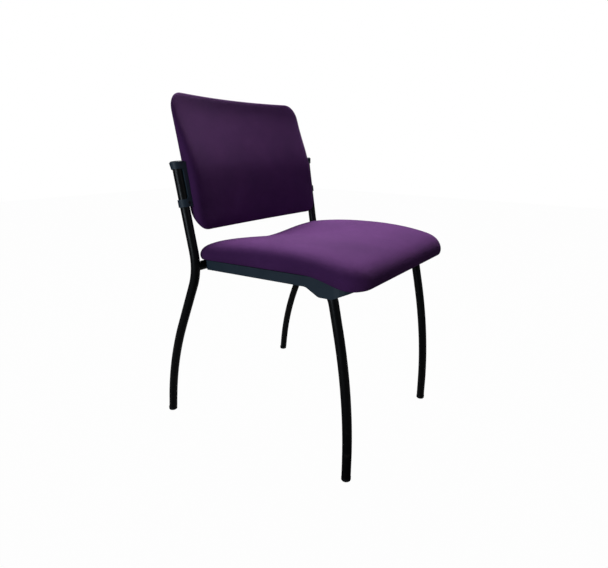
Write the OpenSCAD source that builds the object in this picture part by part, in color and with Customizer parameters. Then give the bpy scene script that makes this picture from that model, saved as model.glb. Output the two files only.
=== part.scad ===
// Four-legged stacking chair: bent steel tube frame, upholstered seat on a moulded pan,
// upholstered back on a moulded shell whose collars slip over the uprights.
// Millimetres, +Z up, the sitter faces -Y, origin on the floor under the middle of the chair.

/* [Frame tube] */
// Outside diameter of every frame tube
tube_d = 22; // [20:0.5:25]
// Wall thickness of every frame tube
tube_wall = 2; // [1.5:0.1:2.5]

/* [Frame layout] */
// Distance between the axes of the two back uprights
upright_span = 497; // [420:1:600]
// Height of the virtual corner where the rear leg turns into the upright
knee_h = 439; // [400:1:480]
// Lean of the uprights from vertical, in degrees
upright_lean = 9; // [4:0.5:14]
// Distance from the knee corner back to the rear foot centre
rear_leg_reach = 150; // [110:1:190]
// Outward splay of each rear foot from its upright
rear_splay = 10.5; // [0:0.5:30]
// Slope of the rear leg at the foot, in degrees from vertical
rear_foot_slope = 8; // [4:0.5:12]
// Slope of the rear leg under the knee, in degrees from vertical
rear_leg_slope = 25; // [20:0.5:30]
// Centreline radius of the long lower bend in the rear leg
rear_leg_bend_r = 840; // [500:10:1000]
// Centreline radius of the knee bend
knee_bend_r = 150; // [100:5:180]
// Centreline radius of the long bend in the front leg
front_leg_bend_r = 1500; // [1000:50:1600]
// Height of the virtual corner of the long bend in the front leg
front_low_h = 210; // [200:1:220]
// Slope of the front leg at the foot, in degrees from vertical
front_foot_slope = 1.2; // [0:0.2:4]
// Slope of the front leg under the seat, in degrees from vertical
front_leg_slope = 13.2; // [10:0.2:15]
// Centreline radius of the bend from front leg to side rail
rail_bend_r = 50; // [40:1:60]
// Outward splay of each front foot from its rail
front_splay = 12; // [0:0.5:30]

/* [Foot caps] */
// Diameter of the foot cap head
cap_d = 22.8; // [22:0.1:30]
// Height of the head under the tube end
cap_h = 9; // [6:0.5:15]
// Length of the spigot inside the tube
cap_spigot_l = 24; // [15:1:40]
// Radial clearance of the spigot in the tube
cap_clear = 0.1; // [0.05:0.05:0.3]

/* [Seat] */
// Depth of the seat cushion from nose to rear edge
seat_depth = 453; // [380:1:500]
// Backward slope of the seat, in degrees
seat_slope = 2; // [0:0.5:5]
// Height of the pan's top face at the knee
seat_h = 460.5; // [440:0.5:480]
// Gap between the cushion side and each upright
seat_gap = 2; // [1:0.5:6]
// Greatest thickness of the cushion above the pan
seat_crown = 51; // [40:1:65]
// Depth of the dish in the middle of the cushion
seat_dish = 13; // [0:1:20]
// How far the cushion nose hangs below the pan's top face
nose_drop = 22; // [6:1:24]
// Corner radius of the cushion at the front
seat_front_r = 50; // [50:1:80]
// Corner radius of the cushion at the rear
seat_rear_r = 26; // [22:1:60]
// Wall thickness of the moulded pan
pan_wall = 3; // [2:0.1:4]
// Depth of the pan's side skirt
skirt_h = 23; // [20:1:32]
// Thickness of the seat board
seat_board_t = 9; // [8:0.5:12]

/* [Back] */
// Length of the back cushion up its slope
back_len = 300; // [240:1:360]
// Gap in height between the pan's top face at the knee and the back cushion
back_lift = 72; // [60:1:110]
// Sag of the back's hollow plan curve, from edge to middle
back_hollow = 24; // [10:1:35]
// Narrowing of each side of the back cushion from bottom to top
back_taper = 6; // [0:1:25]
// Clearance between the back cushion and each upright
back_gap = 6; // [4:0.5:15]
// Extra lean of the back cushion beyond the uprights, in degrees
back_tilt = 0.6; // [0:0.2:4]
// Thickness of the back board
back_board_t = 6; // [5:0.5:9]
// Thickness of the back shell
shell_t = 3; // [2:0.1:4]
// Height of the lower collar above the back cushion's lower edge
collar_rise = 53; // [30:1:80]
// Height over both collars
collar_span = 100; // [80:1:120]
// Height of each collar
collar_h = 17; // [12:1:22]
// Wall thickness of the collars
collar_wall = 2.6; // [2:0.1:4]

/* [Upholstery] */
// Thickness of the cover fabric
fabric_t = 1.2; // [0.8:0.1:1.8]
// Width of the fabric margin stapled under each board
hem_w = 20; // [14:1:26]
// Number of staples along each long side of a board
staples_long = 6; // [3:1:9]

/* [Fasteners] */
// Thread diameter of the screws through seat and back
screw_d = 6; // [5:0.5:8]
// Diameter of the screw heads
screw_head_d = 11; // [9:0.5:14]

/* [Hidden] */
$fn = 64;

steel_black = "#1c2226";
plastic_black = "#1b252b";
fabric_purple = "#54315f";
foam_cream = "#d9cfa8";
ply = "#b58b5a";
zinc = "#9aa0a6";

touch = 0.05;             // gap left between pieces that rest on each other
bore_clear = 0.15;        // radial clearance of holes round tubes
tube_r = tube_d / 2;
upright_x = upright_span / 2;

// Chair depth: the seat nose in front and the rear feet behind bound it, so the knee is set from both.
knee_apex = knee_bend_r * (1 / cos((rear_leg_slope + upright_lean) / 2) - 1);
cushion_past = 7;         // the cushion reaches this far back past the upright axis at the knee
front_reach = seat_depth - cushion_past - knee_apex;
rear_reach = rear_leg_reach + cap_d / 2;
knee_y = (front_reach - rear_reach) / 2;
cross_y = knee_y + knee_apex;
cushion_rear = cross_y + cushion_past;
cushion_nose = cushion_rear - seat_depth;

// The seat frame is tilted about the rear cross tube. Its own z = 0 is the pan's top face.
function seat_z(y) = seat_h + (cross_y - y) * tan(seat_slope);
module in_seat() { translate([0, cross_y, seat_h]) rotate([-seat_slope, 0, 0]) children(); }
seat_half_w = upright_x - tube_r - seat_gap;
cushion_overhang = 7;     // the cushion side stands this far out over the pan
pan_half_w = seat_half_w - cushion_overhang;
socket_gap = 3;           // room between the rail and the pan's side wall
rail_x = pan_half_w - pan_wall - socket_gap - tube_r;
rail_drop = pan_wall + tube_r + touch;
pan_rear = -tube_r - 2;                     // in the seat frame
pan_front = -(cross_y - cushion_nose) + 21; // the nose hangs over the pan's front edge
rail_corner = pan_front + 62;               // where the front leg meets the rail, in the seat frame

// The back frame lies in the plane of the two uprights, z = 0 at the back cushion's lower edge.
back_z = seat_h + back_lift;
back_y = knee_y + (back_z - knee_h) * tan(upright_lean);
module in_back() { translate([0, back_y, back_z]) rotate([-upright_lean, 0, 0]) children(); }
module in_pad() { in_back() rotate([-back_tilt, 0, 0]) children(); }
back_half_w = upright_x - tube_r - back_gap;
collar_r = tube_r + collar_wall;
cap_top = collar_rise + collar_span;        // top of the blind upper collar
upright_top = cap_top - collar_wall - 0.4;  // end of the upright inside it

// ---------- vectors and bent tubes ----------
function unit(v) = v / norm(v);
function turn(a, b, c) = acos(max(-1, min(1, unit(b - a) * unit(c - b))));
function tangent_len(pts, radii, i) =
    (i == 0 || i == len(pts) - 1) ? 0 : radii[i] * tan(turn(pts[i-1], pts[i], pts[i+1]) / 2);

// A matrix that carries x, y, z onto three unit vectors at a point.
function frame_at(p, x, y, z) = [[x.x, y.x, z.x, p.x], [x.y, y.y, z.y, p.y], [x.z, y.z, z.z, p.z], [0, 0, 0, 1]];

// A round rod along straight lines with a bend of the given radius at each inner point. The straights run
// a little way into the bends, which are a hair thicker, so that the lengths join as one piece.
rod_lap = 0.5;
bend_step = 0.12;
module bent_rod(pts, radii, r, past = 0) {
    for (i = [0 : len(pts) - 2]) {
        d = unit(pts[i+1] - pts[i]);
        side = unit(cross(d, [1, 0.013, 0.029]));
        before = i == 0 ? past : rod_lap;
        after = i == len(pts) - 2 ? past : rod_lap;
        from = pts[i] + d * (tangent_len(pts, radii, i) - before);
        length = norm(pts[i+1] - pts[i]) - tangent_len(pts, radii, i) - tangent_len(pts, radii, i + 1);
        multmatrix(frame_at(from, side, cross(d, side), d))
            cylinder(r = r, h = length + before + after);
    }
    for (i = [1 : len(pts) - 2]) {
        d1 = unit(pts[i] - pts[i-1]);
        d2 = unit(pts[i+1] - pts[i]);
        start = pts[i] - d1 * tangent_len(pts, radii, i);
        inward = cross(unit(cross(d1, d2)), d1);
        multmatrix(frame_at(start + inward * radii[i], -inward, d1, unit(cross(d1, d2))))
            rotate_extrude(angle = turn(pts[i-1], pts[i], pts[i+1]))
                translate([radii[i], 0]) circle(r = r + bend_step);
    }
}

// ---------- frame ----------
rear_bottom = knee_y + rear_leg_reach;
// The lower corner is where the foot's slope meets the slope under the knee.
rear_low_h = (rear_leg_reach - knee_h * tan(rear_leg_slope))
    / (tan(rear_foot_slope) - tan(rear_leg_slope));
rear_low_y = rear_bottom - rear_low_h * tan(rear_foot_slope);
function rear_x(h) = upright_x + rear_splay * (1 - h / knee_h);
rear_pts = [
    [rear_x(0), rear_bottom, 0],
    [rear_x(rear_low_h), rear_low_y, rear_low_h],
    [upright_x, knee_y, knee_h],
    [upright_x, back_y + upright_top * sin(upright_lean), back_z + upright_top * cos(upright_lean)]
];
rear_radii = [0, rear_leg_bend_r, knee_bend_r, 0];

function seat_point(x, y, z) = [x, cross_y + y * cos(seat_slope) + z * sin(seat_slope),
    seat_h - y * sin(seat_slope) + z * cos(seat_slope)];
rail_front = seat_point(rail_x, rail_corner, -rail_drop);
rail_rear = seat_point(rail_x, 0, -rail_drop);
front_low_y = rail_front.y - (rail_front.z - front_low_h) * tan(front_leg_slope);
front_bottom = front_low_y - front_low_h * tan(front_foot_slope);
function front_x(h) = rail_x + front_splay * (1 - h / rail_front.z);
front_pts = [
    [front_x(0), front_bottom, 0],
    [front_x(front_low_h), front_low_y, front_low_h],
    rail_front,
    rail_rear
];
front_radii = [0, front_leg_bend_r, rail_bend_r, 0];

module side(s) { if (s > 0) children(); else mirror([1, 0, 0]) children(); }
module above_cap() {
    intersection() {
        children();
        translate([-1000, -1000, cap_h + touch]) cube([2000, 2000, 2000]);
    }
}
module cross_bar(y, z, half, wall) {
    translate([-half, y, z]) rotate([0, 90, 0]) difference() {
        cylinder(r = tube_r, h = 2 * half);
        if (wall > 0) translate([0, 0, -1]) cylinder(r = tube_r - wall, h = 2 * half + 2);
    }
}
rear_bar = [cross_y, seat_point(0, 0, -rail_drop).z];
front_bar_pos = rail_corner + 95;  // in the seat frame, clear of the rail bends
front_bar = [seat_point(0, front_bar_pos, -rail_drop).y, seat_point(0, front_bar_pos, -rail_drop).z];

module rear_leg(s) {
    color(steel_black) side(s) difference() {
        above_cap() bent_rod(rear_pts, rear_radii, tube_r);
        bent_rod(rear_pts, rear_radii, tube_r - tube_wall, 1);
    }
}
module front_leg(s) {
    color(steel_black) side(s) difference() {
        above_cap() bent_rod(front_pts, front_radii, tube_r);
        bent_rod(front_pts, front_radii, tube_r - tube_wall, 1);
        cross_bar(rear_bar[0], rear_bar[1], upright_x, 0);
    }
}
module rear_cross_tube() {
    color(steel_black) difference() {
        cross_bar(rear_bar[0], rear_bar[1], upright_x, tube_wall);
        for (s = [-1, 1]) side(s) bent_rod(rear_pts, rear_radii, tube_r);
    }
}
module front_cross_tube() {
    rail_dir = unit(rail_rear - rail_front);
    color(steel_black) difference() {
        cross_bar(front_bar[0], front_bar[1], rail_x, tube_wall);
        for (s = [-1, 1]) side(s)
            multmatrix(frame_at(rail_front, [1, 0, 0], cross(rail_dir, [1, 0, 0]), rail_dir))
                cylinder(r = tube_r, h = norm(rail_rear - rail_front));
    }
}

// ---------- foot caps ----------
module foot_cap(x, y, dir) {
    edge = 2.5;
    spigot_r = tube_r - tube_wall - cap_clear;
    color("#111315") translate([x, y, 0]) {
        rotate_extrude() {
            translate([0, edge]) square([cap_d / 2, cap_h - edge]);
            square([cap_d / 2 - edge, cap_h]);
            translate([cap_d / 2 - edge, edge]) circle(r = edge);
        }
        intersection() {
            multmatrix(frame_at([0, 0, 0], unit(cross([0, 1, 0], dir)),
                    unit(cross(dir, cross([0, 1, 0], dir))), dir))
                cylinder(r = spigot_r, h = cap_h + cap_spigot_l);
            translate([-50, -50, cap_h / 2]) cube(100);
        }
    }
}
module foot_cap_rear(s) {
    side(s) foot_cap(rear_pts[0].x, rear_pts[0].y, unit(rear_pts[1] - rear_pts[0]));
}
module foot_cap_front(s) {
    side(s) foot_cap(front_pts[0].x, front_pts[0].y, unit(front_pts[1] - front_pts[0]));
}

// ---------- seat fixings ----------
lug_t = 3;
lug_w = 34;
lug_l = 40;
lug_in = 22;     // from the rail's axis to the screw's axis
lug_y = [pan_rear - 38, front_bar_pos + 45];
screw_x = rail_x - lug_in;
module at_lugs() { for (s = [-1, 1], y = lug_y) translate([s * screw_x, y, 0]) children(); }
module seat_lugs() {
    color(steel_black) in_seat() for (s = [-1, 1], y = lug_y) side(s) difference() {
        translate([screw_x - lug_w / 2, y - lug_l / 2, -pan_wall - touch - lug_t])
            cube([rail_x - screw_x + lug_w / 2, lug_l, lug_t]);
        translate([screw_x, y, -20]) cylinder(d = screw_d + 0.6, h = 20);
        translate([rail_x, 0, -rail_drop]) rotate([90, 0, 0])
            cylinder(r = tube_r, h = -rail_corner);
    }
}
board_z = fabric_t + 1.1;            // underside of the seat board, over hem and staples
screw_len = pan_wall + lug_t + board_z + seat_board_t - 1;
washer_t = 1.5;
module button_screw(d, head_d, length) {
    head_h = 0.55 * d;
    difference() {
        union() {
            cylinder(d = d, h = length);
            translate([0, 0, -head_h]) intersection() {
                cylinder(d = head_d, h = head_h);
                translate([0, 0, head_d * 0.72]) sphere(d = head_d * 1.45);
            }
        }
        translate([0, 0, -head_h - 1]) cylinder(d = 0.6 * d, h = 1 + 0.6 * head_h, $fn = 6);
    }
}
module seat_screws() {
    color(zinc) in_seat() at_lugs()
        translate([0, 0, -pan_wall - lug_t - washer_t - 3 * touch]) button_screw(screw_d, screw_head_d, screw_len);
}
module seat_washers() {
    color(zinc) in_seat() at_lugs()
        translate([0, 0, -pan_wall - lug_t - washer_t - 2 * touch]) difference() {
            cylinder(d = screw_head_d + 2, h = washer_t);
            translate([0, 0, -1]) cylinder(d = screw_d + 0.4, h = washer_t + 2);
        }
}
// A pronged nut let into the top of a board: flange up, barrel down.
module t_nut(d, depth) {
    flange_t = 1.4;
    difference() {
        union() {
            translate([0, 0, -flange_t]) cylinder(d = 3 * d, h = flange_t);
            translate([0, 0, -depth]) cylinder(d = 1.4 * d, h = depth - flange_t);
        }
        translate([0, 0, -depth - 1]) cylinder(d = d + 0.1, h = depth + 2);
    }
}
module t_nut_seat(d, depth) {
    translate([0, 0, -1.5]) cylinder(d = 3 * d + 0.4, h = 10);
    translate([0, 0, -depth - 10]) cylinder(d = 1.4 * d + 0.2, h = depth + 15);
}
module seat_t_nuts() {
    color(zinc) in_seat() at_lugs() translate([0, 0, board_z + seat_board_t]) t_nut(screw_d, seat_board_t - 1);
}

// ---------- outlines of boards and cushions ----------
corner_n = 6;
edge_n = 5;
// Points round a rectangle with rounded corners, counted the same way for every size.
function outline(hx, y0, y1, r0, r1) = concat(
    [for (i = [0 : corner_n]) let (a = -90 + 90 * i / corner_n) [hx - r0 + r0 * cos(a), y0 + r0 + r0 * sin(a)]],
    [for (i = [1 : edge_n]) [hx, y0 + r0 + (y1 - r1 - y0 - r0) * i / (edge_n + 1)]],
    [for (i = [0 : corner_n]) let (a = 90 * i / corner_n) [hx - r1 + r1 * cos(a), y1 - r1 + r1 * sin(a)]],
    [for (i = [1 : edge_n]) [(hx - r1) * (1 - 2 * i / (edge_n + 1)), y1]],
    [for (i = [0 : corner_n]) let (a = 90 + 90 * i / corner_n) [-hx + r1 + r1 * cos(a), y1 - r1 + r1 * sin(a)]],
    [for (i = [1 : edge_n]) [-hx, y1 - r1 - (y1 - r1 - y0 - r0) * i / (edge_n + 1)]],
    [for (i = [0 : corner_n]) let (a = 180 + 90 * i / corner_n) [-hx + r0 + r0 * cos(a), y0 + r0 + r0 * sin(a)]],
    [for (i = [1 : edge_n]) [(hx - r0) * (2 * i / (edge_n + 1) - 1), y0]]
);
ring_n = 4 * (corner_n + 1 + edge_n);

// A closed skin through rings of equal count, from a first centre point to a last one.
module ring_skin(rings, first, last) {
    n = ring_n;
    count = len(rings);
    points = concat([first], [for (ring = rings) each ring], [last]);
    faces = concat(
        [for (i = [0 : n - 1]) [0, 1 + (i + 1) % n, 1 + i]],
        [for (k = [0 : count - 2], i = [0 : n - 1])
            let (a = 1 + k * n + i, b = 1 + k * n + (i + 1) % n) [a, b, a + n]],
        [for (k = [0 : count - 2], i = [0 : n - 1])
            let (a = 1 + k * n + i, b = 1 + k * n + (i + 1) % n) [b, b + n, a + n]],
        [for (i = [0 : n - 1])
            [1 + count * n, 1 + (count - 1) * n + i, 1 + (count - 1) * n + (i + 1) % n]]
    );
    polyhedron(points, [for (f = faces) [f[0], f[2], f[1]]], convexity = 6);
}
function ease(t) = let (c = max(0, min(1, t))) c * c * (3 - 2 * c);

// ---------- seat cushion ----------
cushion_front_s = -(cross_y - cushion_nose);   // nose and rear edge in the seat frame
cushion_rear_s = cushion_past;
// Thickness above the pan: fullest a little behind the middle, falling to nose and rear, with a dish for the sitter.
function depth_share(y) = (cushion_rear_s - y) / seat_depth;
function seat_thick(x, y) = let (
        t = depth_share(y),
        side_t = t < 0.45 ? seat_crown - 19 * pow(1 - t / 0.45, 2)
            : seat_crown - 30 * pow((t - 0.45) / 0.55, 2.4),
        hollow = pow(cos(90 * min(1, abs(x) / (0.82 * seat_half_w))), 2) * (1 - ease((t - 0.4) / 0.45)))
    side_t - seat_dish * hollow;
function nose_fall(y) = nose_drop * ease((depth_share(y) - 0.82) / 0.16);
// Edge profile of the cushion: inset from the outline, and share of the local thickness.
cushion_edge = [[5.2, 0], [2.5, 0.06], [0.6, 0.18], [0, 0.34], [1.5, 0.5], [6, 0.7], [14, 0.86], [26, 0.96], [42, 1]];
top_scales = [0.8, 0.6, 0.4, 0.2];
function seat_ring(inset, share, skin) = [
    for (p = outline(seat_half_w - inset - skin, cushion_front_s + inset + skin, cushion_rear_s - inset - skin,
            max(2, seat_front_r - inset), max(2, seat_rear_r - inset)))
        let (low = -nose_fall(p.y), high = seat_thick(p.x, p.y))
            [p.x, p.y, low + (high - low) * share + (share < 0.3 ? skin * (1 - share / 0.3) : -skin * (share - 0.3) / 0.7)]];
seat_mid = [0, (cushion_front_s + cushion_rear_s) / 2];
function seat_top_ring(scale, skin) = [
    for (p = seat_ring(42, 1, skin))
        let (q = seat_mid + ([p.x, p.y] - seat_mid) * scale) [q.x, q.y, seat_thick(q.x, q.y) - skin]];
function seat_outside(skin) = concat(
    [for (e = cushion_edge) seat_ring(e[0], e[1], skin)],
    [for (s = top_scales) seat_top_ring(s, skin)]);
function seat_crest(skin) = [seat_mid.x, seat_mid.y, seat_thick(0, seat_mid.y) - skin];
board_inset = 19;
board_front_inset = 27;
function seat_board_outline(grow) = outline(seat_half_w - board_inset + grow,
    cushion_front_s + board_front_inset - grow, cushion_rear_s - board_inset + grow,
    seat_front_r - board_inset + grow, max(4, seat_rear_r - board_inset) + grow);
function flat_ring(points, z) = [for (p = points) [p.x, p.y, z]];
// The cushion's flat underside ends here, just outside the pan, before the rim turns down.
function rim_ring(inset, z) = flat_ring(outline(seat_half_w - inset, cushion_front_s + inset, cushion_rear_s - inset,
    seat_front_r - inset, seat_rear_r - inset), z);

module seat_board() {
    color(ply) in_seat() difference() {
        translate([0, 0, board_z]) linear_extrude(seat_board_t) polygon(seat_board_outline(0));
        at_lugs() translate([0, 0, board_z + seat_board_t]) t_nut_seat(screw_d, seat_board_t);
    }
}
foam_gap = 0.4;
module seat_foam() {
    skin = fabric_t + foam_gap;
    top = board_z + seat_board_t + foam_gap;
    color(foam_cream) in_seat() ring_skin(concat(
        [flat_ring(seat_board_outline(foam_gap - hem_w), top), flat_ring(seat_board_outline(foam_gap), top),
            flat_ring(seat_board_outline(foam_gap), board_z), rim_ring(6.6 + skin, skin + 2 * touch)],
        seat_outside(skin)), [0, seat_mid.y, top], seat_crest(skin));
}
module seat_cover() {
    in_skin = fabric_t;
    inside = seat_outside(in_skin);
    outside = seat_outside(0);
    hem_top = board_z - touch;
    color(fabric_purple) in_seat() ring_skin(concat(
        [for (k = [len(inside) - 1 : -1 : 0]) inside[k]],
        [rim_ring(6.6 + in_skin, in_skin + touch),
            flat_ring(seat_board_outline(0.5), hem_top), flat_ring(seat_board_outline(-hem_w), hem_top),
            flat_ring(seat_board_outline(-hem_w), hem_top - fabric_t),
            flat_ring(seat_board_outline(1.5), hem_top - fabric_t), rim_ring(6.6, touch)],
        outside), seat_crest(in_skin), seat_crest(0));
}
module staple(crown, leg) {
    wire = 0.8;
    translate([-crown / 2, -wire / 2, -wire]) cube([crown, wire, wire]);
    for (s = [-1, 1]) translate([s * (crown - wire) / 2 - wire / 2, -wire / 2, -wire]) cube([wire, wire, leg + wire]);
}
module seat_staples() {
    inset = hem_w / 2;
    x = seat_half_w - board_inset - inset;
    y0 = cushion_front_s + board_front_inset + inset;
    y1 = cushion_rear_s - board_inset - inset;
    long = y1 - y0 - 2 * seat_front_r;
    wide = 2 * (x - seat_front_r);
    color(zinc) in_seat() translate([0, 0, board_z - touch - fabric_t]) {
        for (s = [-1, 1], i = [0 : staples_long - 1])
            translate([s * x, y0 + seat_front_r + long * i / (staples_long - 1), 0]) rotate(90) staple(10, 6);
        for (y = [y0, y1], i = [0 : staples_long - 1])
            translate([-wide / 2 + wide * i / (staples_long - 1), y, 0]) staple(10, 6);
    }
}

// ---------- seat pan ----------
// Round the corners of a list of points, each with its own radius.
function rounded(pts, radii, n = 6) = [
    for (i = [0 : len(pts) - 1]) let (
        a = pts[(i + len(pts) - 1) % len(pts)], b = pts[i], c = pts[(i + 1) % len(pts)],
        d1 = unit(b - a), d2 = unit(c - b), t = turn(a, b, c),
        side_turn = d1.x * d2.y - d1.y * d2.x > 0 ? 1 : -1,
        normal = side_turn * [-d1.y, d1.x], start = b - d1 * radii[i] * tan(t / 2),
        centre = start + normal * radii[i])
    each (radii[i] == 0 ? [b] : [for (k = [0 : n]) let (w = side_turn * t * k / n)
        centre + [[cos(w), -sin(w)], [sin(w), cos(w)]] * (start - centre)])];
socket_drop = 41;       // depth of the leg socket under the pan's top face
socket_w = 2 * (tube_r + socket_gap) + pan_wall;
// Side view of the skirt in the seat frame: an even band, then the leg socket, then a shallow front.
function skirt_profile(cut) = rounded([
        [-pan_rear + 0, 10], [-pan_rear + 0, -skirt_h + cut],
        [-rail_corner - 52, -skirt_h + cut], [-rail_corner - 20, -socket_drop + cut],
        [-rail_corner + 12, -socket_drop + cut], [-pan_front - 4, -22 + cut], [-pan_front + 1, 10]],
    [0, 0, 20, 14, 10, 6, 0]);
module skirt_side(cut, half) {
    // the profile is drawn with forward as +x, then stood up across the seat
    translate([half, 0, 0]) rotate([90, 0, -90]) linear_extrude(2 * half) polygon(skirt_profile(cut));
}
module pan_body(inset, bottom) {
    translate([0, 0, bottom]) linear_extrude(-bottom)
        polygon(outline(pan_half_w - inset, pan_front + inset, pan_rear - inset, 44 - inset, 8 - inset));
}
module seat_pan() {
    deep = socket_drop + 20;
    color(plastic_black) difference() {
        in_seat() difference() {
            intersection() {
                pan_body(0, -deep);
                skirt_side(0, pan_half_w + 1);
            }
            // hollow underside, stopping at the inner wall of each socket
            intersection() {
                translate([0, 0, -pan_wall]) pan_body(pan_wall, -deep);
                union() {
                    skirt_side(pan_wall, pan_half_w);
                    translate([-pan_half_w + socket_w, pan_front, -deep]) cube([2 * (pan_half_w - socket_w), -pan_front, deep]);
                    translate([-pan_half_w, rail_corner + 62, -deep]) cube([2 * pan_half_w, -rail_corner, deep]);
                }
            }
            at_lugs() translate([0, 0, -10]) cylinder(d = screw_d + 0.6, h = 20);
            for (s = [-1, 1]) side(s) translate([rail_x - tube_r - 1, pan_rear - 10, -deep])
                cube([2 * tube_r + 2, 20, deep - pan_wall]);
        }
        for (s = [-1, 1]) side(s) bent_rod(front_pts, front_radii, tube_r + bore_clear);
    }
}

// ---------- back shell and board ----------
function back_arc_r(half) = (half * half + back_hollow * back_hollow) / (2 * back_hollow);
arc_r = back_arc_r(back_half_w);
shell_rear_y = 6;     // rear face of the shell at the side edge
// A curved slab of the back, from one depth to another, standing from z0 to z1.
module curved_slab(rear, front, z0, z1) {
    translate([0, rear + back_hollow - arc_r, z0]) linear_extrude(z1 - z0) difference() {
        circle(r = arc_r, $fn = 360);
        circle(r = arc_r - (rear - front), $fn = 360);
        translate([-2 * arc_r, -3 * arc_r]) square([4 * arc_r, 3 * arc_r + arc_r * 0.8]);
    }
}
back_low_r = 46;
back_top_r = 40;
function back_x(x, z) = x * (1 - back_taper / back_half_w * z / back_len);
function back_outline(inset, top = 0) = [for (p = outline(back_half_w - inset, inset, back_len - inset - top,
    max(2, back_low_r - inset), max(2, back_top_r - inset))) [back_x(p.x, p.y), p.y]];
module back_cut(inset, top = 0) {
    translate([0, 100, 0]) rotate([90, 0, 0]) linear_extrude(250) polygon(back_outline(inset, top));
}
board_top_inset = 66;   // the cushion thins out above the board
back_screw_x = 120;
back_screw_z = [62, back_len - 118];
function arc_y(x) = sqrt(arc_r * arc_r - x * x) - arc_r + back_hollow;
shell_front_y = shell_rear_y - shell_t;
board_rear_y = shell_front_y - fabric_t - 2.2;
board_front_y = board_rear_y - back_board_t;
module at_back_screws() {
    for (s = [-1, 1], z = back_screw_z)
        translate([s * back_screw_x, arc_y(back_screw_x), z]) rotate([0, 0, -s * asin(back_screw_x / arc_r)]) children();
}
arm_y = shell_rear_y + 2.2;                             // the arm lies behind the shell's edge, clear of the cushion
arm_t = 5;
arm_in = 8;
arm_x = back_half_w - 14;
wall_in = upright_x - tube_r - 4.4;       // inner face of the housing wall beside the tube
module collar_housing() {
    z0 = collar_rise;
    z1 = cap_top;
    front = -collar_r - 0.6;
    window_z0 = z0 + collar_h;
    window_h = collar_span - 2 * collar_h;
    flare = 1.8;
    window_in = 5;
    difference() {
        union() {
            translate([upright_x, 0, z0]) cylinder(r = collar_r, h = collar_span - collar_h);
            translate([upright_x, 0, z1 - collar_h]) cylinder(r1 = collar_r, r2 = collar_r + flare, h = collar_h - 3);
            translate([upright_x, 0, z1 - 3]) cylinder(r1 = collar_r + flare, r2 = collar_r - 1, h = 3);
            translate([wall_in, front, z0]) cube([upright_x - wall_in, 2 * collar_r + 0.6, collar_span - 2]);
            translate([wall_in, front, z0]) cube([arm_in, arm_y + arm_t - front, collar_span - 2]);
        }
        translate([upright_x, 0, z0 - 1]) cylinder(r = tube_r + bore_clear, h = collar_span - collar_wall + 1);
        // the window, open on its outer side, with rounded corners at the web
        translate([upright_x - window_in, 40, window_z0]) rotate([90, 0, 0]) linear_extrude(80)
            polygon(rounded([[0, 0], [40, 0], [40, window_h], [0, window_h]], [8, 0, 0, 4]));
    }
}
module back_shell() {
    edge = 5;
    color(plastic_black) difference() {
        union() {
            in_pad() intersection() {
                curved_slab(shell_rear_y, shell_front_y, -5, back_len + 5);
                back_cut(edge);
            }
            in_back() for (s = [-1, 1]) side(s) {
                collar_housing();
                // the arm from the shell's edge to the housing
                translate([arm_x, arm_y, collar_rise])
                    cube([wall_in + arm_in - arm_x, arm_t, collar_span - 2]);
            }
        }
        in_pad() at_back_screws() rotate([-90, 0, 0]) translate([0, 0, -10]) cylinder(d = screw_d + 0.6, h = 40);
        in_back() for (s = [-1, 1]) side(s) collar_screw_hole(3.4);
    }
}
module back_board() {
    color(ply) in_pad() difference() {
        intersection() {
            curved_slab(board_rear_y, board_front_y, 0, back_len);
            back_cut(board_inset - 3, board_top_inset);
        }
        at_back_screws() rotate([90, 0, 0]) translate([0, 0, -board_front_y]) t_nut_seat(screw_d, back_board_t);
    }
}
module back_t_nuts() {
    color(zinc) in_pad() at_back_screws() rotate([90, 0, 0]) translate([0, 0, -board_front_y]) t_nut(screw_d, back_board_t - 0.5);
}
module back_screws() {
    color(zinc) in_pad() at_back_screws() rotate([90, 0, 0])
        translate([0, 0, -shell_rear_y - touch]) button_screw(screw_d, screw_head_d, shell_rear_y - board_front_y - 0.5);
}
collar_screw_z = collar_rise + collar_h / 2;
collar_screw_x = upright_x - 4;
module collar_screw_hole(d) {
    translate([collar_screw_x, -collar_r - 5, collar_screw_z]) rotate([-90, 0, 0]) cylinder(d = d, h = 5 + collar_wall + 1);
}
module collar_screws() {
    color(zinc) in_back() for (s = [-1, 1]) side(s)
        translate([collar_screw_x, -collar_r - 0.6 - touch, collar_screw_z]) rotate([-90, 0, 0]) button_screw(3, 6.5, collar_wall + 0.6);
}

// ---------- back cushion ----------
// Front face of the cushion in the back frame: nearly upright at the loins, then falling back to a thin top edge.
function back_face(z) = let (t = z / back_len)
    -27.5 - 3.5 * ease(t / 0.28) + 24 * ease((t - 0.42) / 0.5);
back_edge = [[7, 0], [3, 0.04], [0.8, 0.16], [0, 0.32], [1.2, 0.52], [5, 0.72], [12, 0.88], [22, 0.97], [34, 1]];
arc_ease = 0.7;        // room for the flats of the cushion against the shell's true arc
cushion_back_y = shell_front_y - arc_ease;
function back_point(x, z, share, skin) = let (
        rear = cushion_back_y + arc_y(x), front = back_face(z) + arc_y(x))
    [x, rear + (front - rear) * share + (share < 0.3 ? -skin * (1 - share / 0.3) : skin * (share - 0.3) / 0.7), z];
function back_ring(inset, share, skin) = [for (p = back_outline(inset + skin)) back_point(p.x, p.y, share, skin)];
back_mid = back_len / 2;
function back_top_ring(scale, skin) = [for (p = back_outline(34 + skin))
    back_point(p.x * scale, back_mid + (p.y - back_mid) * scale, 1, skin)];
function back_outside(skin) = concat(
    [for (e = back_edge) back_ring(e[0], e[1], skin)],
    [for (s = top_scales) back_top_ring(s, skin)]);
function back_crest(skin) = back_point(0, back_mid, 1, skin);
function back_board_ring(grow, y) = [for (p = back_outline(board_inset - 3 - grow, board_top_inset))
    [p.x, y + arc_y(p.x), p.y]];
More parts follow.
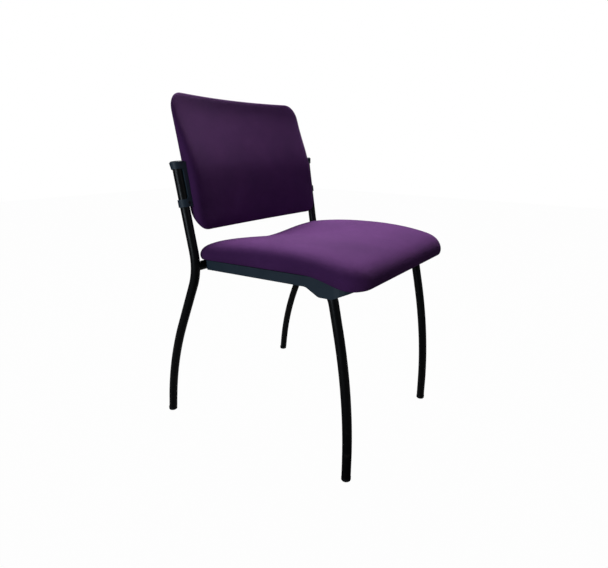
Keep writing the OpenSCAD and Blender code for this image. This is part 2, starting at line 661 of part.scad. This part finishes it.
module back_foam() {
    skin = fabric_t + foam_gap;
    face = board_front_y - arc_ease;
    color(foam_cream) in_pad() ring_skin(concat(
        [for (k = [len(back_outside(skin)) - 1 : -1 : 0]) back_outside(skin)[k]],
        [back_board_ring(arc_ease, board_rear_y), back_board_ring(arc_ease, face),
            back_board_ring(-hem_w, face), [for (p = back_board_ring(-hem_w, face)) let (q = [p.x * 0.5, back_mid + (p.z - back_mid) * 0.5]) [q.x, face + arc_y(q.x), q.y]]]),
        back_crest(skin), [0, face + arc_y(0), back_mid]);
}
module back_cover() {
    inside = back_outside(fabric_t);
    outside = back_outside(0);
    hem = board_rear_y + arc_ease;
    color(fabric_purple) in_pad() ring_skin(concat(
        [for (k = [len(outside) - 1 : -1 : 0]) outside[k]],
        [back_board_ring(1.5, hem + fabric_t), back_board_ring(-hem_w, hem + fabric_t),
            back_board_ring(-hem_w, hem), back_board_ring(0.5, hem)],
        inside), back_crest(0), back_crest(fabric_t));
}
module back_staples() {
    inset = board_inset - 3 + hem_w / 2;
    x = back_half_w - inset - back_taper / 2;
    wide = 2 * (x - back_low_r);
    high = back_len - board_top_inset - 2 * (inset + back_low_r - 10);
    depth = board_rear_y + arc_ease + 0.2 + fabric_t;
    color(zinc) in_pad() {
        for (z = [inset, back_len - inset - board_top_inset], i = [0 : staples_long - 1])
            let (px = -wide / 2 + wide * i / (staples_long - 1))
                translate([px, depth + arc_y(px), z]) rotate([0, 0, -asin(px / arc_r)]) rotate([90, 0, 0]) staple(10, 4);
        for (s = [-1, 1], i = [0 : 3])
            translate([s * x, depth + arc_y(x), (back_len - board_top_inset - high) / 2 + high * i / 3])
                rotate([0, 0, -s * asin(x / arc_r)]) rotate([90, 90, 0]) staple(10, 4);
    }
}

rear_leg(1);  // rear_leg_left
rear_leg(-1);  // rear_leg_right
front_leg(1);  // front_leg_left
front_leg(-1);  // front_leg_right
rear_cross_tube();
front_cross_tube();
seat_lugs();
foot_cap_rear(1);  // foot_cap_rear_left
foot_cap_rear(-1);  // foot_cap_rear_right
foot_cap_front(1);  // foot_cap_front_left
foot_cap_front(-1);  // foot_cap_front_right
seat_pan();
seat_board();
seat_t_nuts();
seat_foam();
seat_cover();
seat_staples();
seat_screws();
seat_washers();
back_shell();
back_board();
back_t_nuts();
back_foam();
back_cover();
back_staples();
back_screws();
collar_screws();
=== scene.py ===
import math

import bmesh
import bpy
from mathutils import Matrix, Vector


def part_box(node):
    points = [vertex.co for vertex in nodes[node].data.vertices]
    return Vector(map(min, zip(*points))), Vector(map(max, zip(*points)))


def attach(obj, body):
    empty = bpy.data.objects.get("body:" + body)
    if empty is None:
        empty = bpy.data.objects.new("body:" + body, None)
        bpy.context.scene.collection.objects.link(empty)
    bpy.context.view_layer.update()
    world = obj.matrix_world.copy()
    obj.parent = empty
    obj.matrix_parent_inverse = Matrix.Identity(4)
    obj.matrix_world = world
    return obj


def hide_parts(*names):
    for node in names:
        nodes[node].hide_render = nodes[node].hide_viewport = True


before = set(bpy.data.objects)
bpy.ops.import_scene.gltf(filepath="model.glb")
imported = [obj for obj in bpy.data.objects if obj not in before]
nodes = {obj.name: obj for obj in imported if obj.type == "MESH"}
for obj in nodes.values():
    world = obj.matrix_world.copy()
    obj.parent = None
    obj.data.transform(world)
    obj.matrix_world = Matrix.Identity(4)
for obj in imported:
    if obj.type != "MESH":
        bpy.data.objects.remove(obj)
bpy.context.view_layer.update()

# What a user would change, one dictionary per piece. Lengths in metres.
seat = {
    "depth": 0.455, "crown": 0.0525, "dish": 0.013, "noseDrop": 0.022,
    "frontRadius": 0.050, "rearRadius": 0.026, "tilt": math.radians(2.0),
    "rear": 0.009,            # rear edge of the cushion, behind the rear cross tube's axis
    "swellCap": 0.004,        # how far a point may move when the pad is inflated
}
back = {
    "length": 0.3005, "drop": 0.0045, "lowRadius": 0.034, "topRadius": 0.040, "halfWidth": 0.2365,
    "hollow": 0.024, "taper": 0.0072, "lean": math.radians(9.6), "swellCap": 0.003,
    "heelCut": 0.016,         # the lower rear edge is rounded forwards by this much
    "rearFace": 0.0023,       # the cushion's rear face, behind the plane of the uprights
    "foot": (0, 0.15368, 0.5325),        # lower edge of the cushion in the plane of the uprights
}
fabric = {
    "colour": "#5a2f67", "shade": "#512a5e", "light": "#653974",
    "thread": 0.0011,         # width of one yarn of the weave
}
coat = {"colour": "#050607", "grain": 0.0009, "roughness": 0.34}
plastic = {"colour": "#22323f", "grain": 0.0012, "roughness": 0.48}
camera = {
    "place": (-0.941887, -0.680729, 0.720431),
    "yaw": 55.7887, "pitch": 22.2929, "roll": 0.6887,
    "lens": 26.175, "shiftX": -0.0206, "shiftY": 0.0699,
}
light = {"key": 112.0, "fill": 18.0, "front": 1.8, "world": 0.1}


# small helpers
def srgb(code):  # sRGB hex to linear
    out = []
    for i in (1, 3, 5):
        c = int(code[i:i + 2], 16) / 255
        out.append(c / 12.92 if c <= 0.04045 else ((c + 0.055) / 1.055) ** 2.4)
    return (*out, 1.0)


def addNode(tree, kind, settings=None, **links):
    node = tree.nodes.new(kind)
    for key, value in (settings or {}).items():
        if key in node.inputs and not hasattr(node, key):
            node.inputs[key].default_value = value
        else:
            setattr(node, key, value)
    for key, value in links.items():
        socket = node.inputs[int(key[1:])] if key[0] == "i" and key[1:].isdigit() else node.inputs[key]
        if isinstance(value, bpy.types.NodeSocket):
            tree.links.new(value, socket)
        else:
            socket.default_value = value
    return node


def newMaterial(name):
    mat = bpy.data.materials.new(name)
    mat.use_nodes = True
    tree = mat.node_tree
    tree.nodes.clear()
    out = tree.nodes.new("ShaderNodeOutputMaterial")
    shader = tree.nodes.new("ShaderNodeBsdfPrincipled")
    tree.links.new(shader.outputs["BSDF"], out.inputs["Surface"])
    return mat, tree, shader


def smooth(t):
    t = min(1.0, max(0.0, t))
    return t * t * (3 - 2 * t)


def finishMesh(bm, name):
    mesh = bpy.data.meshes.new(name)
    bmesh.ops.recalc_face_normals(bm, faces=bm.faces)
    bm.to_mesh(mesh)
    bm.free()
    for poly in mesh.polygons:
        poly.use_smooth = True
    obj = bpy.data.objects.new(name, mesh)
    bpy.context.scene.collection.objects.link(obj)
    return obj


# materials
def objectCoords(tree):
    return tree.nodes.new("ShaderNodeTexCoord").outputs["Object"]


def wovenFabric(name):
    # Plain-woven contract cloth: yarns over and under, with slight fading and fuzz
    mat, tree, shader = newMaterial(name)
    uv = tree.nodes.new("ShaderNodeUVMap")
    uv.uv_map = "cloth"       # metres along and across the cloth
    wobble = addNode(tree, "ShaderNodeTexNoise", {"noise_dimensions": "2D"}, Vector=uv.outputs[0],
                     Scale=260.0, Detail=2.0)
    bend = addNode(tree, "ShaderNodeVectorMath", {"operation": "MULTIPLY_ADD"},
                   i0=wobble.outputs["Color"], i1=(0.0005, 0.0005, 0.0), i2=uv.outputs[0])
    split = addNode(tree, "ShaderNodeSeparateXYZ", None, i0=bend.outputs[0])
    rate = math.pi / fabric["thread"]

    def wave(axis, function):
        turn = addNode(tree, "ShaderNodeMath", {"operation": "MULTIPLY"}, i0=split.outputs[axis], i1=rate)
        return addNode(tree, "ShaderNodeMath", {"operation": function}, i0=turn.outputs[0]).outputs[0]

    sinX, sinY = wave(0, "SINE"), wave(1, "SINE")
    ridgeX = addNode(tree, "ShaderNodeMath", {"operation": "ABSOLUTE"}, i0=sinX).outputs[0]
    ridgeY = addNode(tree, "ShaderNodeMath", {"operation": "ABSOLUTE"}, i0=sinY).outputs[0]
    over = addNode(tree, "ShaderNodeMath", {"operation": "MULTIPLY"},
                   i0=wave(0, "COSINE"), i1=wave(1, "COSINE"))
    pick = addNode(tree, "ShaderNodeMapRange", None, i0=over.outputs[0], i1=-0.25, i2=0.25)
    yarn = addNode(tree, "ShaderNodeMix", {"data_type": "FLOAT"}, i0=pick.outputs[0], i2=ridgeX, i3=ridgeY)
    fuzz = addNode(tree, "ShaderNodeTexNoise", None, Vector=objectCoords(tree), Scale=2400.0, Detail=3.0)
    height = addNode(tree, "ShaderNodeMath", {"operation": "MULTIPLY_ADD"},
                     i0=fuzz.outputs["Fac"], i1=0.45, i2=yarn.outputs[0])
    # gentle fading over the panel, flecks in the yarn and painted shade in the gaps between yarns
    patch = addNode(tree, "ShaderNodeTexNoise", None, Vector=objectCoords(tree), Scale=7.0, Detail=4.0,
                    Roughness=0.6)
    tone = addNode(tree, "ShaderNodeValToRGB", None, i0=patch.outputs["Fac"])
    tone.color_ramp.elements[0].position, tone.color_ramp.elements[0].color = 0.28, srgb(fabric["shade"])
    tone.color_ramp.elements[1].position, tone.color_ramp.elements[1].color = 0.60, srgb(fabric["colour"])
    last = tone.color_ramp.elements.new(0.92)
    last.color = srgb(fabric["light"])
    fleck = addNode(tree, "ShaderNodeTexNoise", None, Vector=objectCoords(tree), Scale=900.0, Detail=2.0)
    fleckMix = addNode(tree, "ShaderNodeMapRange", None, i0=fleck.outputs["Fac"],
                       i1=0.35, i2=0.7, i3=0.86, i4=1.14)
    # painted shade: the colour darkens where the yarns dip, in the gaps between them
    gap = addNode(tree, "ShaderNodeMapRange", None, i0=yarn.outputs[0],
                  i1=0.0, i2=0.7, i3=0.72, i4=1.06)
    shadeBy = addNode(tree, "ShaderNodeMath", {"operation": "MULTIPLY"},
                      i0=fleckMix.outputs[0], i1=gap.outputs[0])
    colour = addNode(tree, "ShaderNodeVectorMath", {"operation": "SCALE"}, i0=tone.outputs["Color"],
                     Scale=shadeBy.outputs[0])
    bump = addNode(tree, "ShaderNodeBump", None, Strength=0.55, Distance=0.0004, Height=height.outputs[0])
    tree.links.new(colour.outputs[0], shader.inputs["Base Color"])
    tree.links.new(bump.outputs[0], shader.inputs["Normal"])
    rough = addNode(tree, "ShaderNodeMapRange", None, i0=fuzz.outputs["Fac"], i3=0.82, i4=0.97)
    tree.links.new(rough.outputs[0], shader.inputs["Roughness"])
    shader.inputs["Specular IOR Level"].default_value = 0.1
    shader.inputs["Sheen Weight"].default_value = 0.1
    shader.inputs["Sheen Roughness"].default_value = 0.45
    shader.inputs["Sheen Tint"].default_value = srgb("#9c6fb4")
    return mat


def powderCoat(name):
    # Satin black epoxy powder coat: fine orange peel, faint scuffs towards the floor
    mat, tree, shader = newMaterial(name)
    place = objectCoords(tree)
    peel = addNode(tree, "ShaderNodeTexNoise", None, Vector=place, Scale=1 / coat["grain"] / 2, Detail=2.0)
    scuff = addNode(tree, "ShaderNodeTexNoise", None, Vector=place, Scale=55.0, Detail=6.0, Roughness=0.7)
    height = addNode(tree, "ShaderNodeSeparateXYZ", None, i0=place)
    low = addNode(tree, "ShaderNodeMapRange", None, i0=height.outputs[2], i1=0.02, i2=0.22, i3=1.0, i4=0.0)
    mark = addNode(tree, "ShaderNodeMapRange", None, i0=scuff.outputs["Fac"], i1=0.56, i2=0.72)
    worn = addNode(tree, "ShaderNodeMath", {"operation": "MULTIPLY"}, i0=low.outputs[0], i1=mark.outputs[0])
    mix = addNode(tree, "ShaderNodeMix", {"data_type": "RGBA"}, i0=worn.outputs[0],
                  i6=srgb(coat["colour"]), i7=srgb("#2a2320"))
    tree.links.new(mix.outputs[2], shader.inputs["Base Color"])
    rough = addNode(tree, "ShaderNodeMapRange", None, i0=scuff.outputs["Fac"], i1=0.3, i2=0.75,
                    i3=coat["roughness"] - 0.05, i4=coat["roughness"] + 0.14)
    tree.links.new(rough.outputs[0], shader.inputs["Roughness"])
    bump = addNode(tree, "ShaderNodeBump", None, Strength=0.12, Distance=0.0002, Height=peel.outputs["Fac"])
    tree.links.new(bump.outputs[0], shader.inputs["Normal"])
    shader.inputs["Specular IOR Level"].default_value = 0.3
    return mat


def mouldedPlastic(name, colour, roughness):
    # Moulded plastic with a fine spark-eroded grain and slight sheen changes from handling
    mat, tree, shader = newMaterial(name)
    place = objectCoords(tree)
    grain = addNode(tree, "ShaderNodeTexVoronoi", {"feature": "SMOOTH_F1"}, Vector=place,
                    Scale=1 / plastic["grain"])
    smear = addNode(tree, "ShaderNodeTexNoise", None, Vector=place, Scale=18.0, Detail=4.0)
    tint = addNode(tree, "ShaderNodeMix", {"data_type": "RGBA"}, i0=smear.outputs["Fac"],
                   i6=srgb(colour), i7=tuple(c * 1.35 for c in srgb(colour)[:3]) + (1.0,))
    tree.links.new(tint.outputs[2], shader.inputs["Base Color"])
    rough = addNode(tree, "ShaderNodeMapRange", None, i0=smear.outputs["Fac"], i1=0.3, i2=0.7,
                    i3=roughness - 0.06, i4=roughness + 0.1)
    tree.links.new(rough.outputs[0], shader.inputs["Roughness"])
    bump = addNode(tree, "ShaderNodeBump", None, Strength=0.25, Distance=0.0002,
                   Height=grain.outputs["Distance"])
    tree.links.new(bump.outputs[0], shader.inputs["Normal"])
    return mat


def plywood(name):  # unfinished beech plywood: long grain with darker pores
    mat, tree, shader = newMaterial(name)
    stretch = addNode(tree, "ShaderNodeMapping", None, i0=objectCoords(tree), Scale=(40.0, 6.0, 160.0))
    grain = addNode(tree, "ShaderNodeTexNoise", None, Vector=stretch.outputs[0], Scale=3.0, Detail=6.0)
    ramp = addNode(tree, "ShaderNodeValToRGB", None, i0=grain.outputs["Fac"])
    ramp.color_ramp.elements[0].position, ramp.color_ramp.elements[0].color = 0.35, srgb("#9a7048")
    ramp.color_ramp.elements[1].position, ramp.color_ramp.elements[1].color = 0.7, srgb("#c9a273")
    tree.links.new(ramp.outputs[0], shader.inputs["Base Color"])
    bump = addNode(tree, "ShaderNodeBump", None, Strength=0.2, Distance=0.0003, Height=grain.outputs["Fac"])
    tree.links.new(bump.outputs[0], shader.inputs["Normal"])
    shader.inputs["Roughness"].default_value = 0.72
    return mat


def foamMaterial(name):  # open-cell polyurethane foam: soft cream, with painted shade in its small pores
    mat, tree, shader = newMaterial(name)
    cell = addNode(tree, "ShaderNodeTexVoronoi", None, Vector=objectCoords(tree), Scale=700.0)
    # painted shade: the colour darkens towards each pore's centre, inside the cells
    ramp = addNode(tree, "ShaderNodeMapRange", None, i0=cell.outputs["Distance"],
                   i1=0.0, i2=0.7, i3=0.75, i4=1.0)
    tint = addNode(tree, "ShaderNodeVectorMath", {"operation": "SCALE"}, i0=srgb("#d9cda8")[:3],
                   Scale=ramp.outputs[0])
    tree.links.new(tint.outputs[0], shader.inputs["Base Color"])
    bump = addNode(tree, "ShaderNodeBump", None, Strength=0.5, Distance=0.0006,
                   Height=cell.outputs["Distance"])
    tree.links.new(bump.outputs[0], shader.inputs["Normal"])
    shader.inputs["Roughness"].default_value = 0.95
    return mat


def zincSteel(name):  # bright zinc-plated fasteners with a faint brushed variation
    mat, tree, shader = newMaterial(name)
    grain = addNode(tree, "ShaderNodeTexNoise", None, Vector=objectCoords(tree), Scale=400.0, Detail=3.0)
    rough = addNode(tree, "ShaderNodeMapRange", None, i0=grain.outputs["Fac"], i3=0.22, i4=0.42)
    tint = addNode(tree, "ShaderNodeMix", {"data_type": "RGBA"}, i0=grain.outputs["Fac"],
                   i6=srgb("#8b9196"), i7=srgb("#b4b9bd"))
    tree.links.new(tint.outputs[2], shader.inputs["Base Color"])
    tree.links.new(rough.outputs[0], shader.inputs["Roughness"])
    shader.inputs["Metallic"].default_value = 1.0
    return mat


purpleCloth = wovenFabric("purpleWovenCloth")            # cushion covers
blackCoat = powderCoat("blackPowderCoat")                # tube frame
panPlastic = mouldedPlastic("blackPolypropylene", plastic["colour"], plastic["roughness"])
capNylon = mouldedPlastic("blackNylon", "#0c0e10", 0.55)
plyMat = plywood("beechPlywood")
foamMat = foamMaterial("creamFoam")
zincMat = zincSteel("zincPlatedSteel")

for name, obj in nodes.items():
    if name.startswith(("rear_leg", "front_leg")) or name.endswith(("cross_tube", "lugs")):
        mat = blackCoat
    elif name.startswith("foot_cap"):
        mat = capNylon
    elif name in ("seat_pan", "back_shell"):
        mat = panPlastic
    elif name.endswith("board"):
        mat = plyMat
    elif name.endswith("foam"):
        mat = foamMat
    elif name.endswith("cover"):
        mat = purpleCloth
    elif name in ("back_screws", "collar_screws"):
        mat = capNylon
    else:
        mat = zincMat
    if not obj.material_slots:
        obj.data.materials.append(mat)
    for s in obj.material_slots:
        s.material = mat
print("materials done")


# cushions
def roundedOutline(halfX, y0, y1, r0, r1, step):
    # Points round a rectangle with rounded corners, evenly spaced by about one step
    pts = []

    def arc(cx, cy, r, a0):
        n = max(4, int(math.radians(90) * r / step))
        for i in range(n + 1):
            a = math.radians(a0 + 90 * i / n)
            pts.append((cx + r * math.cos(a), cy + r * math.sin(a)))

    arc(halfX - r0, y0 + r0, r0, -90)
    arc(halfX - r1, y1 - r1, r1, 0)
    arc(-halfX + r1, y1 - r1, r1, 90)
    arc(-halfX + r0, y0 + r0, r0, 180)
    out = []
    for a, b in zip(pts, pts[1:] + pts[:1]):
        n = max(1, round(math.dist(a, b) / step))
        out += [(a[0] + (b[0] - a[0]) * i / n, a[1] + (b[1] - a[1]) * i / n) for i in range(n)]
    return out


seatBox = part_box("seat_cover")
seatHalf = seatBox[1][0] + 0.0022
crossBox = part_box("rear_cross_tube")
crossY = (crossBox[0][1] + crossBox[1][1]) / 2
crossZ = (crossBox[0][2] + crossBox[1][2]) / 2
panDrop = 0.01405             # from the pan's top face down to the rail and cross tube axes
seatOrigin = Vector((0, crossY - panDrop * math.sin(seat["tilt"]), crossZ + panDrop * math.cos(seat["tilt"])))
seatFrame = Matrix.Translation(seatOrigin) @ Matrix.Rotation(-seat["tilt"], 4, "X")
seatRear = seat["rear"]
seatNose = seatRear - seat["depth"]


def seatThick(x, y):
    t = (seatRear - y) / seat["depth"]
    if t < 0.45:
        high = seat["crown"] - 0.019 * (1 - t / 0.45) ** 2
    else:
        high = seat["crown"] - 0.030 * ((t - 0.45) / 0.55) ** 2.4
    across = min(1.0, abs(x) / (0.82 * seatHalf))
    return high - seat["dish"] * math.cos(math.pi / 2 * across) ** 2 * (1 - smooth((t - 0.4) / 0.45))


def noseFall(y):
    return seat["noseDrop"] * smooth(((seatRear - y) / seat["depth"] - 0.70) / 0.26)


ringScales = (0.85, 0.7, 0.55, 0.4, 0.25, 0.1)        # rings from the edge profile to the middle
underScale = 0.86             # the ring that closes the underside
ringStep = 0.009
seatMiddle = (0.0, (seatRear + seatNose) / 2)
backMiddle = (0.0, back["length"] / 2)


def loftPad(name, outline, place, edge, middle, start):
    # A closed pad through rings: the edge profile first, then rings shrinking to the middle
    bm = bmesh.new()
    rings = []

    def inwards(x, y, scale):
        return middle[0] + (x - middle[0]) * scale, middle[1] + (y - middle[1]) * scale

    for inset, share in edge:
        rings.append([bm.verts.new(place(x, y, share)) for x, y in outline(inset)])
    lastInset, lastShare = edge[-1]
    for scale in ringScales:
        rings.append([bm.verts.new(place(*inwards(x, y, scale), lastShare)) for x, y in outline(lastInset)])
    under = [bm.verts.new(place(*inwards(x, y, underScale), start)) for x, y in outline(edge[0][0])]
    rings.insert(0, under)
    for a, b in zip(rings, rings[1:]):
        n = len(a)
        for i in range(n):
            bm.faces.new((a[i], a[(i + 1) % n], b[(i + 1) % n], b[i]))
    top = bm.verts.new(place(middle[0], middle[1], lastShare))
    low = bm.verts.new(place(middle[0], middle[1], start))
    n = len(rings[0])
    for i in range(n):
        bm.faces.new((rings[-1][i], rings[-1][(i + 1) % n], top))
        bm.faces.new((low, rings[0][(i + 1) % n], rings[0][i]))
    return finishMesh(bm, name)


def equalOutline(make, step):
    # Outlines at every inset keep the same number of points, so rings join one to one
    base = make(0.0, step)
    count = len(base)

    def at(inset):
        pts = make(inset, step / 3)
        total = [0.0]
        for a, b in zip(pts, pts[1:] + pts[:1]):
            total.append(total[-1] + math.dist(a, b))
        out, k = [], 0
        for i in range(count):
            want = total[-1] * i / count
            while total[k + 1] < want:
                k += 1
            a, b = pts[k], pts[(k + 1) % len(pts)]
            t = (want - total[k]) / max(1e-9, total[k + 1] - total[k])
            out.append((a[0] + (b[0] - a[0]) * t, a[1] + (b[1] - a[1]) * t))
        return out

    return at


def inflate(obj, cap, fixed):
    # Swells a pad a little under cloth pressure; points that fixed() holds stay
    bpy.context.view_layer.objects.active = obj
    obj.select_set(True)
    before = [v.co.copy() for v in obj.data.vertices]
    group = obj.vertex_groups.new(name="held")
    for i, co in enumerate(before):
        weight = fixed(co)
        if weight > 0:
            group.add([i], weight, "REPLACE")
    cloth = obj.modifiers.new("cloth", "CLOTH")
    cloth.settings.quality = 6
    cloth.settings.mass = 0.3
    cloth.settings.tension_stiffness = 40
    cloth.settings.compression_stiffness = 40
    cloth.settings.bending_stiffness = 4
    cloth.settings.use_pressure = True
    cloth.settings.uniform_pressure_force = 4
    cloth.settings.effector_weights.gravity = 0
    cloth.settings.vertex_group_mass = "held"
    cloth.point_cache.frame_start, cloth.point_cache.frame_end = 1, 20
    cloth.collision_settings.use_collision = False
    scene = bpy.context.scene
    for f in range(1, 21):
        scene.frame_set(f)
    puffed = obj.evaluated_get(bpy.context.evaluated_depsgraph_get()).to_mesh()
    after = [v.co.copy() for v in puffed.vertices]
    obj.evaluated_get(bpy.context.evaluated_depsgraph_get()).to_mesh_clear()
    obj.modifiers.remove(cloth)
    obj.vertex_groups.clear()
    # the cloth only gives how far to swell: its outward part, capped and evened out
    out = [v.normal.copy() for v in obj.data.vertices]
    swell = [min(cap, max(0.0, (b - a).dot(n))) for a, b, n in zip(before, after, out)]
    near = [[] for _ in before]
    for edge in obj.data.edges:
        a, b = edge.vertices
        near[a].append(b)
        near[b].append(a)
    free = [1 - fixed(co) for co in before]
    for _ in range(8):
        swell = [(h + sum(swell[k] for k in ring)) / (1 + len(ring)) for h, ring in zip(swell, near)]
    for v, a, n, h, f in zip(obj.data.vertices, before, out, swell, free):
        v.co = a + n * h * f
    scene.frame_set(1)
    obj.select_set(False)


def clothMap(obj, frameMatrix, flat):
    # UVs in metres, laid on the pad from above, and from the side where the cloth turns down
    mesh = obj.data
    layer = mesh.uv_layers.new(name="cloth")
    inverse = frameMatrix.inverted()
    for poly in mesh.polygons:
        for i in poly.loop_indices:
            p = inverse @ mesh.vertices[mesh.loops[i].vertex_index].co
            layer.data[i].uv = flat(p)
    mesh.uv_layers.active = layer


seatEdge = [(0.0062, 0.02), (0.0032, 0.07), (0.0010, 0.18), (0.0003, 0.33), (0.0014, 0.5),
            (0.0055, 0.69), (0.013, 0.85), (0.025, 0.955), (0.042, 1.0)]
seatOutline = equalOutline(lambda inset, step: roundedOutline(
    seatHalf - inset, seatNose + inset, seatRear - inset,
    max(0.002, seat["frontRadius"] - inset), max(0.002, seat["rearRadius"] - inset), step), ringStep)


def seatPlace(x, y, share):
    low = -noseFall(y)
    return seatFrame @ Vector((x, y, low + (seatThick(x, y) - low) * share))


seatPad = loftPad("seatCushion", seatOutline, seatPlace, seatEdge, seatMiddle, 0.03)
print("seat pad lofted", len(seatPad.data.vertices))

# back: the frame lies in the plane of the uprights, then leans a little more
backFrame = Matrix.Translation(back["foot"]) @ Matrix.Rotation(-back["lean"], 4, "X")
backHalf = back["halfWidth"]
arcRadius = (backHalf ** 2 + back["hollow"] ** 2) / (2 * back["hollow"])


def arcY(x):
    return math.sqrt(arcRadius ** 2 - x * x) - arcRadius + back["hollow"]


def backFace(z):
    t = z / back["length"]
    return -0.0310 - 0.0035 * smooth(t / 0.28) + 0.029 * smooth((t - 0.36) / 0.62)


def backPlace(x, z, share):
    heel = back["heelCut"] * (1 - smooth(z / 0.045))
    rear = back["rearFace"] + arcY(x) - heel
    front = backFace(z) + arcY(x)
    return backFrame @ Vector((x, rear + (front - rear) * share, z))


def backShape(inset, step):
    pts = roundedOutline(backHalf - inset, inset - back["drop"], back["length"] - inset,
                         max(0.002, back["lowRadius"] - inset), max(0.002, back["topRadius"] - inset), step)
    return [(x * (1 - back["taper"] / backHalf * z / back["length"]), z) for x, z in pts]


backEdge = [(0.0060, 0.02), (0.0026, 0.06), (0.0006, 0.17), (0.0, 0.33), (0.0002, 0.52),
            (0.0020, 0.70), (0.0056, 0.84), (0.0110, 0.93), (0.0190, 0.98), (0.031, 1.0)]
backOutline = equalOutline(backShape, ringStep)
backPad = loftPad("backCushion", backOutline, backPlace, backEdge, backMiddle, 0.03)
print("back pad lofted", len(backPad.data.vertices))


def finishPad(obj, frameMatrix, cap, fixed, flat, nodesReplaced):
    inflate(obj, cap, fixed)
    mod = obj.modifiers.new("smooth", "SUBSURF")
    mod.levels = mod.render_levels = 2
    bpy.context.view_layer.objects.active = obj
    bpy.ops.object.modifier_apply(modifier="smooth")
    for poly in obj.data.polygons:
        poly.use_smooth = True
    clothMap(obj, frameMatrix, flat)
    obj.data.materials.clear()
    obj.data.materials.append(purpleCloth)
    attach(obj, "root")
    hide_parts(*nodesReplaced)


def seatFixed(co):
    p = seatFrame.inverted() @ co
    return 1.0 - smooth((p.z - 0.006) / 0.012)


def seatFlat(p):
    # beyond the edge the cloth runs on down the side
    drop = max(0.0, 0.032 - p.z)
    overX = max(0.0, abs(p.x) - seatHalf + 0.02)
    x = p.x + math.copysign(drop, p.x) * (1 if overX > 0 else 0)
    return (x, p.y - (drop if p.y < seatNose + 0.02 else 0))


def backFixed(co):
    p = backFrame.inverted() @ co
    gap = back["rearFace"] + arcY(max(-backHalf, min(backHalf, p.x))) - p.y
    return 1.0 - smooth((gap - 0.005) / 0.01)


def foamCore(name, outline, place, edge, middle, inset, node):
    # The foam under a cover: the same form, drawn in by inset
    slim = [(i + inset, 0.12 + 0.72 * share) for i, share in edge[::2]]
    core = loftPad(name, outline, place, slim, middle, 0.14)
    core.data.materials.append(foamMat)
    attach(core, "root")
    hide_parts(node)


foamCore("seatFoam", seatOutline, seatPlace, seatEdge, seatMiddle, 0.006, "seat_foam")
foamCore("backFoam", backOutline, backPlace, backEdge, backMiddle, 0.006, "back_foam")
finishPad(seatPad, seatFrame, seat["swellCap"], seatFixed, seatFlat, ("seat_cover",))
finishPad(backPad, backFrame, back["swellCap"], backFixed, lambda p: (p.x, p.z), ("back_cover",))
print("cushions done")

# floor, light and camera
floorMesh = bpy.data.meshes.new("floor")
floorCorners = [(x, y, -0.0005) for x, y in ((-6, -6), (6, -6), (6, 6), (-6, 6))]
floorMesh.from_pydata(floorCorners, [], [(0, 1, 2, 3)])
floor = bpy.data.objects.new("floor", floorMesh)
bpy.context.scene.collection.objects.link(floor)
floorMat, floorTree, floorShader = newMaterial("paleFloor")
floorShader.inputs["Base Color"].default_value = (0.09, 0.09, 0.09, 1)
floorShader.inputs["Roughness"].default_value = 0.9
floorGlow = addNode(floorTree, "ShaderNodeEmission", None, Color=(1, 1, 1, 1), Strength=1.0)
ray = floorTree.nodes.new("ShaderNodeLightPath")
floorShare = addNode(floorTree, "ShaderNodeMath", {"operation": "MULTIPLY"},
                     i0=ray.outputs["Is Camera Ray"], i1=0.985)
floorMix = addNode(floorTree, "ShaderNodeMixShader", None, i0=floorShare.outputs[0],
                   i1=floorShader.outputs[0], i2=floorGlow.outputs[0])
floorOut = next(n for n in floorTree.nodes if n.type == "OUTPUT_MATERIAL")
floorTree.links.new(floorMix.outputs[0], floorOut.inputs["Surface"])
floor.data.materials.append(floorMat)

world = bpy.data.worlds.new("studio")
world.use_nodes = True
bpy.context.scene.world = world
worldTree = world.node_tree
worldTree.nodes.clear()
path = worldTree.nodes.new("ShaderNodeLightPath")
white = addNode(worldTree, "ShaderNodeBackground", None, Color=(1, 1, 1, 1), Strength=1.0)
soft = addNode(worldTree, "ShaderNodeBackground", None, Color=(0.86, 0.92, 1.0, 1), Strength=light["world"])
pick = addNode(worldTree, "ShaderNodeMixShader", None, i0=path.outputs["Is Camera Ray"],
               i1=soft.outputs[0], i2=white.outputs[0])
worldOut = worldTree.nodes.new("ShaderNodeOutputWorld")
worldTree.links.new(pick.outputs[0], worldOut.inputs[0])


def areaLight(name, place, aim, size, power, colour=(1, 1, 1)):
    data = bpy.data.lights.new(name, "AREA")
    data.energy, data.size, data.color = power, size, colour
    obj = bpy.data.objects.new(name, data)
    obj.location = place
    obj.rotation_euler = (Vector(aim) - Vector(place)).to_track_quat("-Z", "Y").to_euler()
    bpy.context.scene.collection.objects.link(obj)


areaLight("key", (1.0, 0.78, 2.5), (0, 0, 0.45), 1.2, light["key"])
areaLight("fill", (-2.6, 0.0, 0.9), (0, 0, 0.45), 0.9, light["fill"], (0.8, 0.9, 1.0))
areaLight("front", (0.6, -2.6, 1.4), (0, 0, 0.5), 1.2, light["front"])

cam = bpy.data.cameras.new("camera")
cam.sensor_width, cam.lens = 36, camera["lens"]
cam.shift_x, cam.shift_y = camera["shiftX"], camera["shiftY"]
cam.clip_start = 0.05
camObj = bpy.data.objects.new("camera", cam)
yaw, pitch, roll = (math.radians(camera[k]) for k in ("yaw", "pitch", "roll"))
ahead = Vector((math.sin(yaw) * math.cos(pitch), math.cos(yaw) * math.cos(pitch), -math.sin(pitch)))
right = Vector((math.cos(yaw), -math.sin(yaw), 0))
up = right.cross(ahead)
sideways = math.cos(roll) * right + math.sin(roll) * up
upwards = -math.sin(roll) * right + math.cos(roll) * up
turn = Matrix((sideways, upwards, -ahead)).transposed().to_4x4()
camObj.matrix_world = Matrix.Translation(camera["place"]) @ turn
bpy.context.scene.collection.objects.link(camObj)
bpy.context.scene.camera = camObj
bpy.context.scene.view_settings.view_transform = "Standard"
